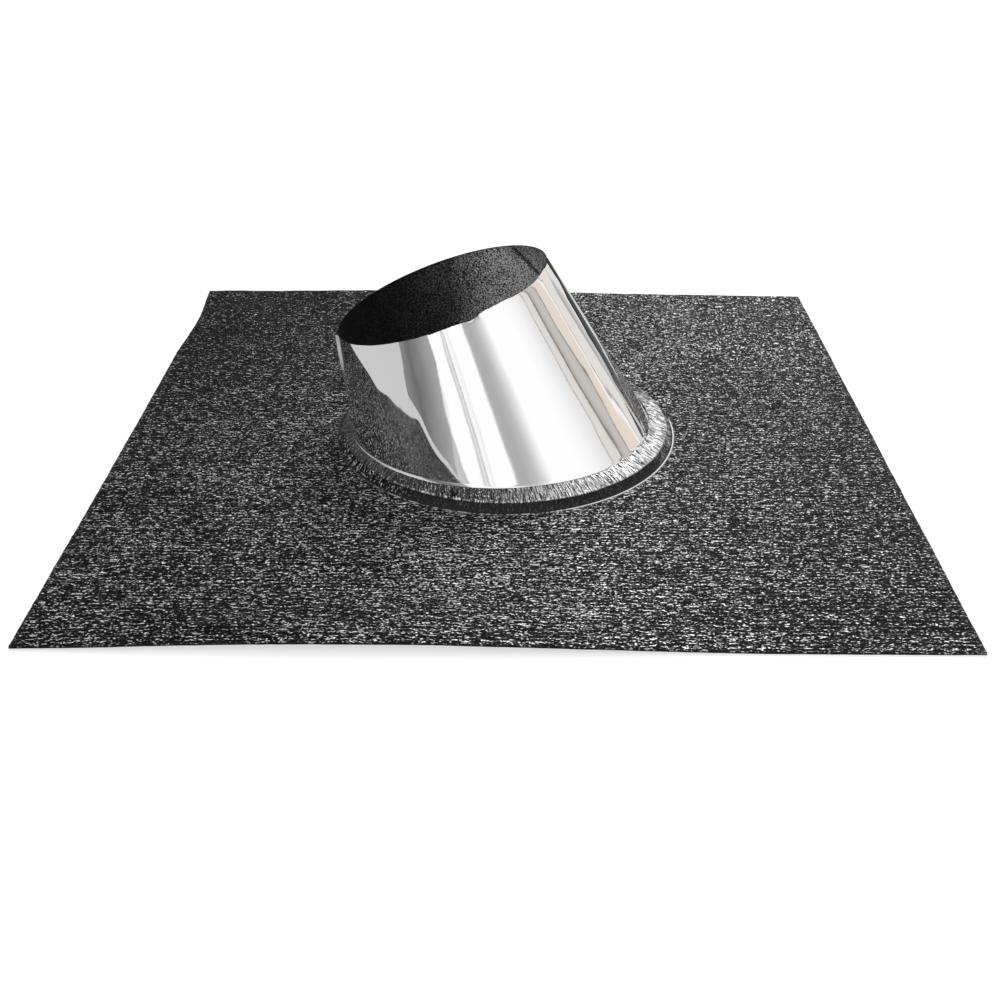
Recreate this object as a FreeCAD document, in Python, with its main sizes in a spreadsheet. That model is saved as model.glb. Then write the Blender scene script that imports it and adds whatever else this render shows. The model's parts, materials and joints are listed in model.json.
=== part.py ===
"""Pipe flashing: a crepe sheet drawn up round an oblique, polished steel collar.

Millimetres.  The origin is on the surface that the sheet lies on, under the middle of the
sheet.  +Z is up, +X is along the sheet towards the long side of the collar.
"""
import FreeCAD, Part
import Sketcher
import os
from math import cos, pi, radians, sin, tan

SIZES = (
    # crepe sheet
    ("sheet_length", 500.0),        # along X
    ("sheet_width", 500.0),         # along Y
    ("sheet_gauge", 1.2),
    ("near_lift", 5.2),             # the near edge stands off the floor by this much
    ("near_lift_middle", -52.0),    # where along X it is highest
    ("near_lift_reach", 228.0),     # and how far to each side it fades out
    ("far_lift", 3.0),
    ("far_lift_middle", -50.0),
    ("far_lift_reach", 200.0),
    ("edge_lift_depth", 60.0),      # how far in from the edge a lift is felt
    ("far_trim", 4.7),              # the far right corner is cut short by this much
    ("flat_radius", 150.0),         # truly flat inside this
    # raised ring pressed into the sheet
    ("crease_radius", 113.0),
    ("crease_middle_x", 3.0),
    ("crease_middle_y", -3.5),
    ("ring_height", 7.0),
    ("ring_lean", 4.5),             # the ring's wall leans in by this much
    ("shoulder_round", 1.2),
    # gathers between the ring and the collar's foot
    ("gather_count", 106),
    ("gather_depth", 0.8),
    ("ledge_width", 0.5),           # flat left outside the collar's foot
    ("lip_height", 10.0),           # sheet turned up inside the collar
    ("bond_gap", 0.15),             # adhesive film between lip and collar
    # collar
    ("collar_gauge", 0.6),
    ("rim_radius", 71.4),
    ("rim_middle_x", -38.4),
    ("rim_middle_y", -0.8),
    ("rim_height", 97.4),           # middle of the rim
    ("foot_height", 10.25),         # level of the oblique cut
    ("flare_angle", 13.65),         # half angle of the cone
    ("lean_angle", 18.97),          # cone axis from the vertical
    ("collar_turn", -6.5),          # collar turned in its seat
    ("lap_angle", 15.0),            # share of the turn where the blank's ends overlap
)

doc = FreeCAD.newDocument("PipeFlashing")


def make_sizes():
    """The spreadsheet that holds every driving dimension."""
    sheet = doc.addObject("Spreadsheet::Sheet", "Sizes")
    for row, (alias, value) in enumerate(SIZES, 1):
        sheet.set("A%d" % row, alias)
        sheet.set("B%d" % row, str(value))
        sheet.setAlias("B%d" % row, alias)
    doc.recompute()
    return sheet


sizes = make_sizes()


def bind(thing, **expressions):
    """Tie properties to the spreadsheet; a double underscore stands for a dot."""
    for name, expression in expressions.items():
        thing.setExpression(name.replace("__", "."), expression)


def origin_plane(body, role):
    return [f for f in body.Origin.OriginFeatures if f.Role == role][0]


def add_profile(body, name, corners):
    """Closed polygon on the body's XZ plane, each corner tied to a pair of expressions."""
    sketch = body.newObject("Sketcher::SketchObject", name)
    sketch.AttachmentSupport = [(origin_plane(body, "XZ_Plane"), "")]
    sketch.MapMode = "FlatFace"
    spots = []
    for along, up in corners:
        spot = FreeCAD.Vector(sizes.evalExpression(along), sizes.evalExpression(up), 0)
        spots.append(spot)
    for i, spot in enumerate(spots):
        sketch.addGeometry(Part.LineSegment(spot, spots[(i + 1) % len(spots)]), False)
    for i in range(len(spots)):
        sketch.addConstraint(Sketcher.Constraint("Coincident", i, 2, (i + 1) % len(spots), 1))
    for i, (spot, corner) in enumerate(zip(spots, corners)):
        for kind, value, expression in (("DistanceX", spot.x, corner[0]), ("DistanceY", spot.y, corner[1])):
            if expression == "0":
                axis = -2 if kind == "DistanceX" else -1
                sketch.addConstraint(Sketcher.Constraint("PointOnObject", i, 1, axis))
                continue
            ends = (-1, 1, i, 1) if value > 0 else (i, 1, -1, 1)
            index = sketch.addConstraint(Sketcher.Constraint(kind, *ends, abs(value)))
            sign = "" if value > 0 else "-1 * "
            sketch.setExpression("Constraints[%d]" % index, "%s(%s)" % (sign, expression))
    doc.recompute()
    return sketch


# --- expressions shared by the collar and the sheet's lip ------------------------------------
FLARE = "Sizes.flare_angle"
LEAN = "Sizes.lean_angle"
DROP = "(Sizes.rim_height - Sizes.foot_height)"
LONG_SIDE = "((%s + Sizes.rim_radius * sin(%s)) / cos(%s + %s) * cos(%s) + 10)" % (DROP, LEAN, FLARE, LEAN, FLARE)


def wall_radius(inset, down="0"):
    """Radius of the cone `inset` inside its outer face, `down` below the rim."""
    return "(Sizes.rim_radius - (%s) / cos(%s) + (%s) * tan(%s))" % (inset, FLARE, down, FLARE)


def seat_on_rim(thing):
    """Stand a piece's origin at the middle of the rim, with Z along the cone's axis."""
    bind(thing, Placement__Base__x="Sizes.rim_middle_x", Placement__Base__y="Sizes.rim_middle_y",
         Placement__Base__z="Sizes.rim_height", Placement__Rotation__Yaw="Sizes.collar_turn",
         Placement__Rotation__Pitch="-1 * Sizes.lean_angle", Placement__Rotation__Roll="0")


def make_collar():
    """Cone rolled from one blank, its ends lapped, its foot cut level with the floor."""
    body = doc.addObject("PartDesign::Body", "pipe_collar")
    body.Label = "pipe_collar"
    seat_on_rim(body)
    doc.recompute()
    foot = "(-1 * %s)" % LONG_SIDE
    wall = add_profile(body, "WallProfile", (
        (wall_radius("0"), "0"),
        (wall_radius("0", LONG_SIDE), foot),
        (wall_radius("Sizes.collar_gauge", LONG_SIDE), foot),
        (wall_radius("Sizes.collar_gauge"), "0")))
    rolled = body.newObject("PartDesign::Revolution", "RolledWall")
    rolled.Profile = wall
    rolled.ReferenceAxis = (wall, ["V_Axis"])
    rolled.Angle = 360
    doc.recompute()
    strip = add_profile(body, "LapProfile", (
        (wall_radius("-1 * Sizes.collar_gauge"), "0"),
        (wall_radius("-1 * Sizes.collar_gauge", LONG_SIDE), foot),
        (wall_radius("0.5 * Sizes.collar_gauge", LONG_SIDE), foot),
        (wall_radius("0.5 * Sizes.collar_gauge"), "0")))
    lap = body.newObject("PartDesign::Revolution", "LapSeam")
    lap.Profile = strip
    lap.ReferenceAxis = (strip, ["V_Axis"])
    lap.Midplane = True
    bind(lap, Angle="Sizes.lap_angle")
    doc.recompute()
    reach = "(2 * Sizes.rim_height + 2 * Sizes.rim_radius)"
    middle = "(-1 * %s / cos(%s))" % (DROP, LEAN)
    below = add_profile(body, "FootCut", (
        ("(-1 * %s * cos(%s))" % (reach, LEAN), "(%s + %s * sin(%s))" % (middle, reach, LEAN)),
        ("(%s * cos(%s))" % (reach, LEAN), "(%s - %s * sin(%s))" % (middle, reach, LEAN)),
        ("(%s * cos(%s) - %s * sin(%s))" % (reach, LEAN, reach, LEAN),
         "(%s - %s * sin(%s) - %s * cos(%s))" % (middle, reach, LEAN, reach, LEAN)),
        ("(-1 * %s * cos(%s) - %s * sin(%s))" % (reach, LEAN, reach, LEAN),
         "(%s + %s * sin(%s) - %s * cos(%s))" % (middle, reach, LEAN, reach, LEAN))))
    before = body.Shape.Volume
    trim = body.newObject("PartDesign::Pocket", "LevelFoot")
    trim.Profile = below
    trim.Type = "ThroughAll"
    trim.Midplane = True
    doc.recompute()
    if body.Shape.Volume > 0.99 * before:
        raise RuntimeError("the foot cut removed nothing")
    return body


def value(alias):
    return float(sizes.get(alias))


def even_knots(poles, degree):
    """Knots, multiplicities and pole stations of a clamped, evenly spaced direction, 0 to 1."""
    spans = poles - degree
    knots = [i / spans for i in range(spans + 1)]
    mults = [degree + 1] + [1] * (spans - 1) + [degree + 1]
    full = [0.0] * degree + knots + [1.0] * degree
    stations = [sum(full[i + 1:i + 1 + degree]) / degree for i in range(poles)]
    return knots, mults, stations


def swell(distance, reach):
    """1 at no distance, falling smoothly to 0 at `reach` and beyond."""
    share = min(abs(distance) / reach, 1.0)
    return (1.0 - share * share) ** 2


def sheet_lift(x, y):
    """How far the sheet's underside stands off the floor."""
    half_width = value("sheet_width") / 2
    depth = value("edge_lift_depth")
    near = swell(y + half_width, depth) * swell(x - value("near_lift_middle"), value("near_lift_reach"))
    far = swell(y - half_width, depth) * swell(x - value("far_lift_middle"), value("far_lift_reach"))
    return value("near_lift") * near + value("far_lift") * far


def trimmed(x, y):
    """Y of the blank's point: it narrows towards the far right corner."""
    along = x / value("sheet_length") + 0.5
    across = y / value("sheet_width") + 0.5
    return y - value("far_trim") * along ** 3 * across ** 2


def make_outer_field():
    """The sheet outside its flat middle, lifting a little along two edges."""
    count, degree = 32, 3
    knots, mults, stations = even_knots(count, degree)
    poles = []
    for u in stations:
        x = (u - 0.5) * value("sheet_length")
        row = []
        for v in stations:
            y = (v - 0.5) * value("sheet_width")
            row.append(FreeCAD.Vector(x, trimmed(x, y), sheet_lift(x, y)))
        poles.append(row)
    under = Part.BSplineSurface()
    under.buildFromPolesMultsKnots(poles, mults, mults, knots, knots, False, False, degree, degree)
    blank = doc.addObject("Part::Feature", "WavyBlank")
    blank.Shape = under.toShape().extrude(FreeCAD.Vector(0, 0, value("sheet_gauge")))
    opening = doc.addObject("Part::Cylinder", "FlatOpening")
    bind(opening, Radius="Sizes.flat_radius", Height="4 * Sizes.sheet_gauge",
         Placement__Base__z="-1 * Sizes.sheet_gauge")
    field = doc.addObject("Part::Cut", "OuterField")
    field.Base = blank
    field.Tool = opening
    return field


def make_flat_middle():
    """Flat disc that the ring is pressed out of."""
    disc = doc.addObject("Part::Cylinder", "FlatMiddle")
    bind(disc, Radius="Sizes.flat_radius", Height="Sizes.sheet_gauge")
    return disc


def foot_oval(inset, level):
    """Middle, half-axes and turn of the level section through the cone at a height."""
    flare, lean = radians(value("flare_angle")), radians(value("lean_angle"))
    turn = radians(value("collar_turn"))
    radius = value("rim_radius") - inset / cos(flare)
    to_apex = radius / tan(flare)
    apex_x = value("rim_middle_x") - to_apex * sin(lean) * cos(turn)
    apex_y = value("rim_middle_y") - to_apex * sin(lean) * sin(turn)
    drop = value("rim_height") + to_apex * cos(lean) - level
    near_end, far_end = drop * tan(lean - flare), drop * tan(lean + flare)
    long_half = (far_end - near_end) / 2
    short_half = long_half * (1 - (sin(lean) / cos(flare)) ** 2) ** 0.5
    offset = (far_end + near_end) / 2
    return apex_x + offset * cos(turn), apex_y + offset * sin(turn), long_half, short_half, turn


def oval_point(oval, angle):
    middle_x, middle_y, long_half, short_half, turn = oval
    along, across = long_half * cos(angle - turn), short_half * sin(angle - turn)
    return (middle_x + along * cos(turn) - across * sin(turn),
            middle_y + along * sin(turn) + across * cos(turn))


def blend(first, second, share):
    return first + (second - first) * share


def drawn_rows(under):
    """Rows of the drawn wall from the field up to the collar: start, end, share, level, gathered.

    `under` is how far the rows lie beneath the sheet's upper face.
    """
    gauge, ring_top = value("sheet_gauge"), value("ring_height")
    slope = value("ring_lean") / (ring_top - gauge)
    middle = (value("crease_middle_x"), value("crease_middle_y"))

    def ring(level):
        radius = value("crease_radius") - under - slope * (level - gauge)
        return middle + (radius, radius, 0.0)

    rounding = value("shoulder_round")
    bottom = gauge / 2 if not under else -gauge
    top = ring_top - under
    foot_level = value("foot_height") - under
    inset = value("collar_gauge") + value("bond_gap") + under + value("ledge_width")
    foot = foot_oval(inset if under else -value("ledge_width"), foot_level)
    shoulder = ring(top)
    rows = []
    for level in (bottom, blend(bottom, top - rounding, 0.5), top - rounding):
        rows.append((ring(level), foot, 0.0, level, 0.0))
    rows.append((shoulder, foot, 0.0, top, 0.3))
    for inward, upward, gathered in ((0.12, 0.3, 1.0), (0.45, 0.75, 1.0), (0.85, 1.0, 0.6), (1.0, 1.0, 0.0)):
        rows.append((shoulder, foot, inward, blend(top, foot_level, upward), gathered))
    return rows


def add_drawn(name, under, gathers, depth):
    """Closed solid under the drawn wall: ring wall, rounded shoulder and gathered rise."""
    rows = drawn_rows(under)
    count = 2 * gathers
    poles = []
    for i in range(count):
        angle = 2 * pi * i / count
        crest = depth * (1 if i % 2 else -1)
        column = []
        for start, end, share, level, gathered in rows:
            start_x, start_y = oval_point(start, angle)
            end_x, end_y = oval_point(end, angle)
            column.append(FreeCAD.Vector(blend(start_x, end_x, share), blend(start_y, end_y, share),
                                         level + crest * gathered))
        poles.append(column)
    knots, mults, _ = even_knots(len(rows), 2)
    wall = Part.BSplineSurface()
    wall.buildFromPolesMultsKnots(poles, [1] * (count + 1), mults,
                                  [i / count for i in range(count + 1)], knots, True, False, 3, 2)
    side = wall.toShape()
    caps = [Part.Face(Part.Wire([edge])) for edge in side.Edges if edge.isClosed()]
    shell = Part.Shell([side] + caps)
    shell.sewShape()
    solid = Part.Solid(shell)
    if solid.Volume < 0:
        solid.reverse()
    thing = doc.addObject("Part::Feature", name)
    thing.Shape = solid
    return thing


def add_lip(name, inset, bottom, top):
    """Part of the collar's cone, `inset` inside its outer face, between two levels."""
    cone = doc.addObject("Part::Cone", name + "Cone")
    run = "%s * sin(%s)" % (LONG_SIDE, LEAN)
    bind(cone, Radius1=wall_radius(inset, LONG_SIDE), Radius2=wall_radius(inset), Height=LONG_SIDE,
         Placement__Base__x="Sizes.rim_middle_x + %s * cos(Sizes.collar_turn)" % run,
         Placement__Base__y="Sizes.rim_middle_y + %s * sin(Sizes.collar_turn)" % run,
         Placement__Base__z="Sizes.rim_height - %s * cos(%s)" % (LONG_SIDE, LEAN),
         Placement__Rotation__Yaw="Sizes.collar_turn",
         Placement__Rotation__Pitch="-1 * Sizes.lean_angle", Placement__Rotation__Roll="0")
    slab = doc.addObject("Part::Cylinder", name + "Slab")
    bind(slab, Radius="2 * Sizes.crease_radius", Height="%s - %s" % (top, bottom),
         Placement__Base__z=bottom)
    lip = doc.addObject("Part::Common", name)
    lip.Base = cone
    lip.Tool = slab
    return lip


def make_sheet():
    """The crepe sheet: a field with a pressed ring, gathered up to the collar and lipped inside."""
    gauge = "Sizes.sheet_gauge"
    lip_inset = "(Sizes.collar_gauge + Sizes.bond_gap)"
    lip_top = "(Sizes.foot_height + Sizes.lip_height)"
    upper = [
        make_outer_field(),
        make_flat_middle(),
        add_drawn("DrawnUpper", 0.0, int(value("gather_count")), value("gather_depth")),
        add_lip("LipUpper", lip_inset, "(Sizes.foot_height - 0.5 * %s)" % gauge, lip_top)]
    lower = [
        add_drawn("DrawnUnder", value("sheet_gauge"), 12, 0.0),
        add_lip("LipUnder", "(%s + %s)" % (lip_inset, gauge),
                "(Sizes.foot_height - 1.5 * %s)" % gauge, "(%s + %s)" % (lip_top, gauge))]
    outer = doc.addObject("Part::MultiFuse", "SheetUpper")
    outer.Shapes = upper
    inner = doc.addObject("Part::MultiFuse", "SheetUnder")
    inner.Shapes = lower
    sheet = doc.addObject("Part::Cut", "flashing_sheet")
    sheet.Label = "flashing_sheet"
    sheet.Base = outer
    sheet.Tool = inner
    doc.recompute()
    return sheet


def export(pieces):
    """Check every object, then write one STEP file for each piece."""
    for thing in doc.Objects:
        if "Invalid" in thing.State or "Error" in thing.State:
            raise RuntimeError("%s failed: %s" % (thing.Name, thing.State))
    os.makedirs("parts", exist_ok=True)
    for piece in pieces:
        shape = piece.Shape
        if shape.isNull() or not shape.isValid() or len(shape.Solids) != 1:
            raise RuntimeError("%s isn't one valid solid" % piece.Label)
        shape.exportStep("parts/%s.step" % piece.Label)


collar = make_collar()
sheet = make_sheet()
export([collar, sheet])
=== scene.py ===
import json
from math import atan, cos, hypot, pi, radians, sin, tan

import bpy
import numpy as np
from mathutils import Euler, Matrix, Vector
from mathutils.geometry import delaunay_2d_cdt


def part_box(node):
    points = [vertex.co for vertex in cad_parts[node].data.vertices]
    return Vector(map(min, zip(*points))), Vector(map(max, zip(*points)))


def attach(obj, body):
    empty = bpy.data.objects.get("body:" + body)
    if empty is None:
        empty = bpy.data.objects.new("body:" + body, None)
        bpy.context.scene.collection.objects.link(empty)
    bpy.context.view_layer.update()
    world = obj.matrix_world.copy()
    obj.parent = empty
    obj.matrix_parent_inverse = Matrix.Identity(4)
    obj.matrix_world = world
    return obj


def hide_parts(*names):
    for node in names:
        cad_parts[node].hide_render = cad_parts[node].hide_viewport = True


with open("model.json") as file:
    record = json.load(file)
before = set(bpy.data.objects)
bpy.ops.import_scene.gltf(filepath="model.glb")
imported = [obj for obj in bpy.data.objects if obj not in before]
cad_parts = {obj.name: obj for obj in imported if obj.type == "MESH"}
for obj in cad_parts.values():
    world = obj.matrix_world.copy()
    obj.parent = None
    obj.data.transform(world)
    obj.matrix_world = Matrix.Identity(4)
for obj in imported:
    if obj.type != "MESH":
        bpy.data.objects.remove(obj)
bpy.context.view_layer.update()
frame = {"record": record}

MM = 0.001
sheet_low, sheet_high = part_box("flashing_sheet")
collar_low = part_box("pipe_collar")[0]
opening = [m for m in frame["record"]["mounts"] if m["name"] == "pipe_opening"][0]

# --- sizes, in millimetres ---------------------------------------------------------------------
SIDE_X = (sheet_high[0] - sheet_low[0]) / MM
SIDE_Y = (sheet_high[1] - sheet_low[1]) / MM
GAUGE = 1.2
LIFT_DEPTH = 60                 # how far in from an edge its lift is felt
NEAR_LIFT, NEAR_MIDDLE, NEAR_REACH = 4.4, -70, 215
FAR_LIFT, FAR_MIDDLE, FAR_REACH = 1.5, -50, 200
CORNER_LIFT, CORNER_REACH = 2.4, 36
CREPE_HEIGHT = 0.24
FIELD_COLUMNS, FIELD_ROWS = 109, 533
CREASE_RADIUS, CREASE_X, CREASE_Y = 113.0, 3.0, -3.5
RING_MARGIN = 3.0               # flat band outside the crease that is drawn with the ring
RING_HEIGHT, RING_LEAN = 7.0, 4.5
SLOPE = RING_LEAN / (RING_HEIGHT - GAUGE)       # how far the wall leans in per millimetre of height
COLLAR_GAUGE, BOND_GAP, LEDGE = 0.6, 0.15, 0.5
LIP_ROUND = 0.2                 # rounding of the lip's top corners
FOOT = collar_low[2] / MM
LIP_TOP = sheet_high[2] / MM
RIM = np.array(opening["pos_m"]) / MM
AXIS = np.array(opening["axis"]) / np.linalg.norm(opening["axis"])
FLARE = radians(13.65)
RIM_RADIUS = opening["dims"]["r_mm"] + COLLAR_GAUGE / cos(FLARE)
TURN = atan(AXIS[1] / AXIS[0])
LEAN = np.arccos(AXIS[2])
CUT_AT = (262, 275, 286, 295, 298.5, 300, 307, 315, 319, 330, 338, 350)      # degrees round the rim, and
CUT_LOW = (0, 0.2, -0.3, 0.8, 0.2, -1.3, -1.1, -1.1, -0.1, 0.8, 1.0, 0)      # how far its cut dips there
RIBS = 262                      # fine gathers all round
TURNS = 1200                    # samples round the ring


# --- numbers worked out on whole arrays --------------------------------------------------------
def lattice(i, j, seed):
    """A fixed random-looking number from 0 to 1 for whole i, j: the fraction of a large sine."""
    s = np.sin(i * 127.1 + j * 311.7 + seed * 74.7) * 43758.5453
    return s - np.floor(s)


def grain(x, y, seed):
    """Smooth noise from -1 to 1: lattice numbers blended by 3t^2 - 2t^3 along x and along y."""
    i, j = np.floor(x), np.floor(y)
    u, v = x - i, y - j
    u, v = u * u * (3 - 2 * u), v * v * (3 - 2 * v)
    low = lattice(i, j, seed) * (1 - u) + lattice(i + 1, j, seed) * u
    high = lattice(i, j + 1, seed) * (1 - u) + lattice(i + 1, j + 1, seed) * u
    return 2 * (low * (1 - v) + high * v) - 1


def ramp(x, low, high):
    """0 below `low`, 1 above `high`, 3t^2 - 2t^3 between."""
    t = np.clip((x - low) / (high - low), 0, 1)
    return t * t * (3 - 2 * t)


def swell(distance, reach):
    """1 at no distance, (1 - d^2)^2 outwards, 0 from `reach` on."""
    share = np.minimum(np.abs(distance) / reach, 1.0)
    return (1.0 - share * share) ** 2


def sheet_lift(x, y):
    """Height of the sheet's underside.

    The near and far edges lift a little, each round its own middle, and so does the far left corner.
    """
    near = NEAR_LIFT * swell(y + SIDE_Y / 2, LIFT_DEPTH) * swell(x - NEAR_MIDDLE, NEAR_REACH)
    far = FAR_LIFT * swell(y - SIDE_Y / 2, LIFT_DEPTH) * swell(x - FAR_MIDDLE, FAR_REACH)
    corner = CORNER_LIFT * swell(np.hypot(x + SIDE_X / 2, y - SIDE_Y / 2), CORNER_REACH)
    return near + far + corner


def crepe(x, y):
    """Crepe relief of the upper face: short ridges along X, in patches, that fade out by the ring."""
    bend = 1.2 * grain(x / 14, y / 9, 3)
    long_ridges = grain(x / 5.2 + bend, (y + bend) / 1.45, 1)
    short_ridges = grain(x / 2.9 + 7, (y - bend) / 1.25, 2)
    patch = 0.75 + 0.25 * grain(x / 22, y / 13, 4)
    away = np.hypot(x - CREASE_X, y - CREASE_Y)
    fade = ramp(away, CREASE_RADIUS + 1.5, CREASE_RADIUS + 9)
    return CREPE_HEIGHT * patch * (long_ridges + 0.55 * short_ridges) * fade


def foot_oval(inset, level):
    """Middle, half-axes and turn of the level section through the collar's cone, `inset` inside it."""
    radius = RIM_RADIUS - inset / cos(FLARE)
    to_apex = radius / tan(FLARE)
    apex = RIM + AXIS * to_apex
    drop = apex[2] - level
    near, far = drop * tan(LEAN - FLARE), drop * tan(LEAN + FLARE)
    long_half = (far - near) / 2
    short_half = long_half * (1 - (sin(LEAN) / cos(FLARE)) ** 2) ** 0.5
    offset = (far + near) / 2
    return apex[0] + offset * cos(TURN), apex[1] + offset * sin(TURN), long_half, short_half


def oval_points(oval, angle):
    """Points of the oval at each angle round the ring."""
    along, across = oval[2] * np.cos(angle - TURN), oval[3] * np.sin(angle - TURN)
    return (oval[0] + along * cos(TURN) - across * sin(TURN),
            oval[1] + along * sin(TURN) + across * cos(TURN))


def ring_points(radius, angle):
    """Points at a radius from the ring's own centre."""
    return CREASE_X + radius * np.cos(angle), CREASE_Y + radius * np.sin(angle)


# --- mesh helpers ------------------------------------------------------------------------------
def new_piece(name, vertices, loops, sizes, materials, slot_of_face=None, sharp_rows=()):
    """A smooth mesh from flat arrays, with vertices in millimetres.

    `loops` holds the corners of all faces in turn and `sizes` each face's number of corners. Edges
    with both ends in one of the sharp rows are left crisp.
    """
    mesh = bpy.data.meshes.new(name)
    mesh.vertices.add(len(vertices))
    mesh.vertices.foreach_set("co", (vertices * MM).astype(np.float32).ravel())
    mesh.loops.add(len(loops))
    mesh.loops.foreach_set("vertex_index", loops.astype(np.int32))
    mesh.polygons.add(len(sizes))
    starts = np.concatenate(([0], np.cumsum(sizes)[:-1]))
    mesh.polygons.foreach_set("loop_start", starts.astype(np.int32))
    mesh.polygons.foreach_set("loop_total", sizes.astype(np.int32))
    for material in materials:
        mesh.materials.append(material)
    if slot_of_face is not None:
        mesh.polygons.foreach_set("material_index", slot_of_face.astype(np.int32))
    mesh.polygons.foreach_set("use_smooth", np.ones(len(sizes), bool))
    mesh.update(calc_edges=True)
    ends = np.empty(2 * len(mesh.edges), np.int32)
    mesh.edges.foreach_get("vertices", ends)
    ends = ends.reshape(-1, 2)
    sharp = np.zeros(len(ends), bool)
    for row in sharp_rows:
        on_row = np.zeros(len(vertices), bool)
        on_row[row] = True
        sharp |= on_row[ends].all(axis=1)
    mesh.edges.foreach_set("use_edge_sharp", sharp)
    mesh.validate()
    thing = bpy.data.objects.new(name, mesh)
    bpy.context.scene.collection.objects.link(thing)
    return thing


def band_quads(rows, columns, start):
    """Quads between closed rows of `columns` vertices each, and the corners' (row, column) for UVs."""
    row, column = np.meshgrid(np.arange(rows - 1), np.arange(columns), indexing="ij")
    row, column = row.ravel(), column.ravel()
    after = (column + 1) % columns
    quads = np.stack((row * columns + column, row * columns + after,
                      (row + 1) * columns + after, (row + 1) * columns + column), axis=1) + start
    corner_rows = np.stack((row, row, row + 1, row + 1), axis=1)
    corner_columns = np.stack((column, column + 1, column + 1, column), axis=1)
    return quads, corner_rows, corner_columns


def fill_between(points, edges, upward):
    """Delaunay triangles of the points that lie on the left of the directed edges.

    Whatever holds an edge the wrong way round is taken out, and then all that it leads to without
    crossing an edge.
    """
    found = delaunay_2d_cdt([tuple(p) for p in points], [tuple(e) for e in edges], [], 1, 1e-6, True)
    own = np.array([ids[0] if ids else -1 for ids in found[3]])
    corners = own[np.array(found[2])]
    corners = corners[(corners >= 0).all(axis=1)]
    count = len(points)
    walls = np.concatenate((edges @ (count, 1), edges @ (1, count)))
    wrong = edges @ (1, count)
    while True:
        after = np.roll(corners, -1, axis=1)
        outside = np.isin(corners * count + after, wrong).any(axis=1)
        if not outside.any():
            return corners if upward else corners[:, ::-1]
        mates = (after[outside] * count + corners[outside]).ravel()
        wrong = np.concatenate((wrong, mates[~np.isin(mates, walls)]))
        corners = corners[~outside]


# --- crepe sheet -------------------------------------------------------------------------------
def cut_outline(x, y):
    """The blank's cut edges: each side wanders by a few tenths, and the far left corner runs out."""
    half_x, half_y = SIDE_X / 2, SIDE_Y / 2
    left = 0.35 + 0.25 * grain(y / 40, 1, 21) + 0.1 * grain(y / 4, 0, 22)
    left = left + 2.3 * swell(y - 178, 62) + 0.5 * swell(y + 20, 180)
    corner = 6.0 * swell(x + half_x, 30)
    right = 0.3 + 0.2 * grain(y / 30, 1, 23) + 0.1 * grain(y / 4, 0, 24)
    near = 0.3 + 0.2 * grain(x / 35, 1, 25) + 0.12 * grain(x / 4, 0, 26)
    far = 0.3 + 0.2 * grain(x / 30, 1, 27) + 0.12 * grain(x / 4, 0, 28) + corner
    share_x, share_y = np.abs(x / half_x) ** 6, np.abs(y / half_y) ** 6
    new_x = x + np.where(x < 0, left, -right) * share_x
    new_y = y + np.where(y < 0, near, -far) * share_y
    new_y = new_y - 8.8 * (x / SIDE_X + 0.5) ** 2.2 * (y / SIDE_Y + 0.5) ** 2
    return new_x, new_y


def rib_wave(angle, seed):
    """Uneven gathers: a cosine whose phase and height drift round the ring."""
    phase = RIBS * angle + 2.2 * grain(angle * 34, 0, seed) + 1.2 * grain(angle * 90, 0, seed + 1)
    height = 0.72 + 0.28 * grain(angle * 50, 3, seed + 2)
    return height * np.cos(phase)


def full_row(*values):
    """One row round the ring, with single numbers spread over all of it."""
    return tuple(value + np.zeros(TURNS) for value in values)


def crease_rows(angle, heading):
    """The flat band outside the ring, then the fold at its foot: a rubbed bead, broken into dashes, pale partly
    from wear and partly as a painted highlight.
    """
    dashes = np.clip(0.55 + 0.8 * grain(angle * 90, 0, 31) + 0.3 * grain(angle * 16, 0, 32), 0, 1)
    # Painted highlight: the bead is raised and paled most across the front, less towards the left and back.
    whole = ramp(heading, -78, -62) * (1 - ramp(heading, 5, 9))
    shown = ramp(heading, -150, -118) * (1 - ramp(heading, 5, 10))
    painted_light_share = (0.12 + 0.88 * shown) * (dashes + (0.95 - dashes) * whole)
    # The last column is the worn share: wear at the fold plus a painted highlight along it.
    steps = ((RING_MARGIN, 0.0, 1.0, 0.0), (1.7, 0.0, 1.0, 0.0),        # outwards, up, crepe share, worn share
             (1.0, 0.15 * painted_light_share, 0.6, 0.1 * painted_light_share), (0.55, 0.50 * painted_light_share, 0.2, painted_light_share),
             (0.15, 0.45 * painted_light_share, 0.1, painted_light_share), (-0.15, 0.20, 0.0, 0.0))
    return [full_row(*ring_points(CREASE_RADIUS + out, angle), GAUGE + up, crepe_share, wear_and_painted_glint)
            for out, up, crepe_share, wear_and_painted_glint in steps]


def wall_rows(angle, heading, wobble, plain):
    """The ring's leaning wall, sagging in by half a sine, with the crushed part at its right."""
    crushed = ramp(heading, -32, -8) * (1 - ramp(heading, 110, 150))
    textured = np.maximum(crushed, plain)
    rows = []
    for share in (0.25, 0.5, 0.75, 0.9):
        level = GAUGE + share * (RING_HEIGHT - GAUGE)
        sag = 0.5 * sin(pi * share)
        dents = crushed * 0.7 * grain(angle * 55, share * 4, 34)
        x, y = ring_points(CREASE_RADIUS - SLOPE * (level - GAUGE) - sag + wobble * share + dents, angle)
        glints = np.clip(0.1 + 0.9 * grain(angle * 150, share * 7, 35), 0, 1)
        # Painted glints on the crushed part of the wall, carried in the worn share.
        wear_and_painted_glint = 0.75 * crushed * (1 - ramp(heading, 8, 40)) * glints
        # The low crepe share across the front gives a flat dark colour: partly the smoothed coating, partly
        # painted shade.
        rows.append(full_row(x, y, level, 0.06 + 0.86 * textured, wear_and_painted_glint))
    return rows


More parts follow.
